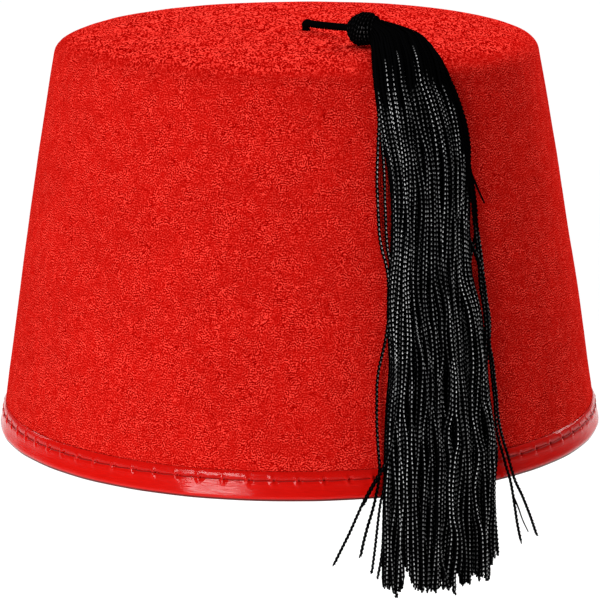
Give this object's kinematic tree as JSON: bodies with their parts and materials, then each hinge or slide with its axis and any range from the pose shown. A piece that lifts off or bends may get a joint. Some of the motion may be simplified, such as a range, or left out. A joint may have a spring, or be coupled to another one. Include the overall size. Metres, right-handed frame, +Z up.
{
  "type": "fez hat",
  "caption": "Moulded felt cap with a flat top and tapered side, a ribbon-bound rim, and a corded tassel that hangs from the middle of the top.",
  "frame": {"origin": "centre of the rim's underside, where the head goes in", "axes": "+Z up through the middle of the top, -Y to the front of the hat, +X to the side that the tassel leans to"},
  "size_m": [0.19, 0.1902, 0.1653],
  "materials": {
    "felt": "short-pile wool felt, matt",
    "satin_ribbon": "satin ribbon, soft gloss",
    "tassel_yarn": "two-ply rayon cord, slight lustre"
  },
  "bodies": {
    "root": {"crown": "felt", "rim_binding": "satin_ribbon", "tassel_cord": "tassel_yarn", "tassel_knot": "tassel_yarn", "tassel_skirt": "tassel_yarn"}
  },
  "joints": []
}
